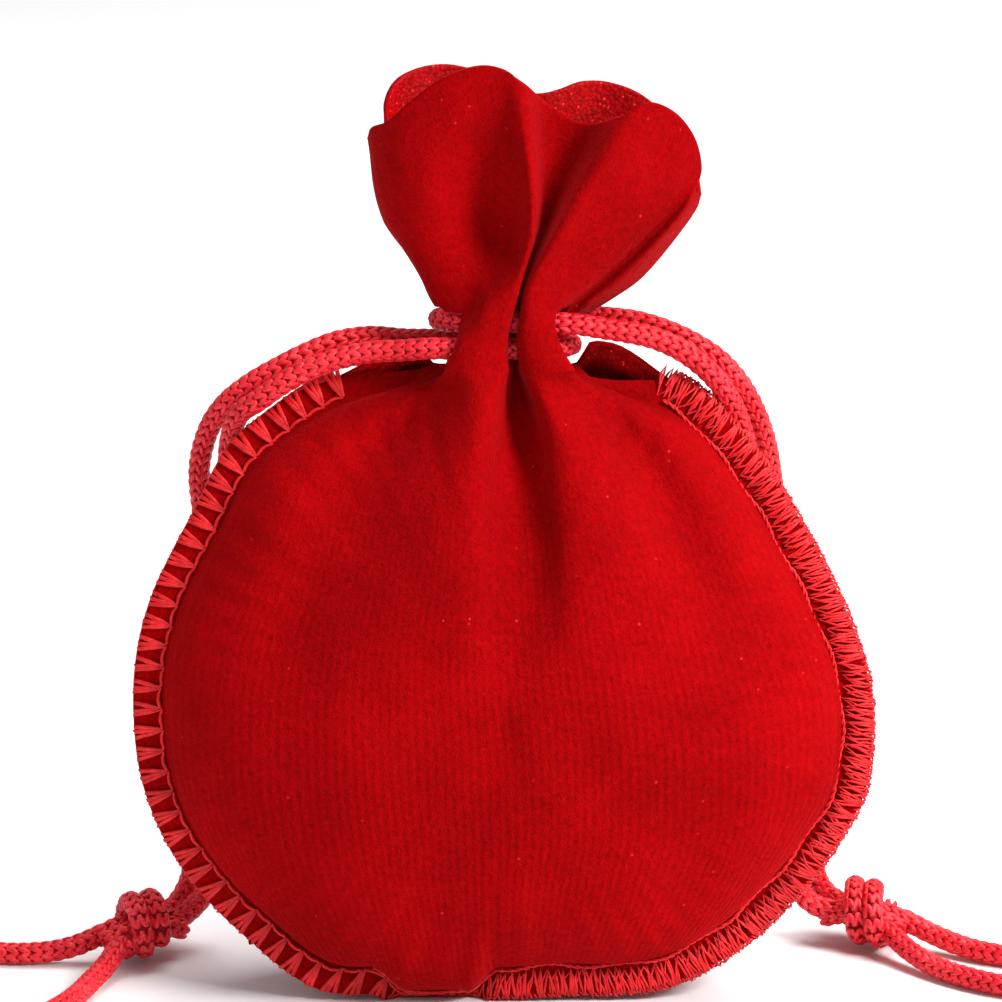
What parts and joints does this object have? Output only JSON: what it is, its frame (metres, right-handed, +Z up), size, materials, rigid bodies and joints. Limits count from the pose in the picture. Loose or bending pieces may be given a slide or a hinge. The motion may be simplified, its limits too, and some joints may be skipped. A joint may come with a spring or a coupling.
{
  "type": "drawstring gift pouch",
  "caption": "Round velvet gift pouch with an overlocked outside seam, a gathered neck, a petal frill and knotted drawcords that pull out on both sides.",
  "frame": {"origin": "on the table, under the middle of the pouch's outer box without its cords", "axes": "+X to the right along the seam plane, +Y to the back, +Z up"},
  "size_m": [0.1385, 0.0448, 0.1015],
  "materials": {
    "velvet": "short cut pile with a soft sheen",
    "cord": "knitted polyester cord with a soft shine",
    "thread": "textured polyester sewing thread"
  },
  "bodies": {
    "pouch": {"front_panel": "velvet", "back_panel": "velvet", "front_looper_thread": "thread", "back_looper_thread": "thread", "needle_thread": "thread", "left_cord_loop": "cord", "left_cord_front_strand": "cord", "left_cord_back_strand": "cord", "right_cord_loop": "cord", "right_cord_front_strand": "cord", "right_cord_back_strand": "cord"},
    "front_frill": {"front_frill": "velvet"},
    "back_frill": {"back_frill": "velvet"},
    "left_cord_end": {"left_cord_knot": "cord", "left_cord_upper_tail": "cord", "left_cord_lower_tail": "cord"},
    "right_cord_end": {"right_cord_knot": "cord", "right_cord_upper_tail": "cord", "right_cord_lower_tail": "cord"}
  },
  "joints": [
    {"name": "front_frill_fold", "type": "hinge", "parent": "pouch", "child": "front_frill", "pos_m": [0, -0.00465, 0.07708], "axis": [1, 0, 0], "range_deg": [0, 40], "stiffness_Nm_per_rad": 0.002},
    {"name": "back_frill_fold", "type": "hinge", "parent": "pouch", "child": "back_frill", "pos_m": [0, 0.01139, 0.07482], "axis": [-1, 0, 0], "range_deg": [0, 40], "stiffness_Nm_per_rad": 0.002},
    {"name": "left_cord_run", "type": "slide", "parent": "pouch", "child": "left_cord_end", "axis": [0.7741, 0.6331, 0], "range_m": [0, 0.01], "deforming": ["left_cord_front_strand", "left_cord_back_strand"]},
    {"name": "right_cord_run", "type": "slide", "parent": "pouch", "child": "right_cord_end", "axis": [-0.8601, 0.5101, 0], "range_m": [0, 0.01], "deforming": ["right_cord_front_strand", "right_cord_back_strand"]}
  ],
  "couplings": [
    {"joint": "right_cord_run", "follows": "left_cord_run", "ratio": 1}
  ]
}
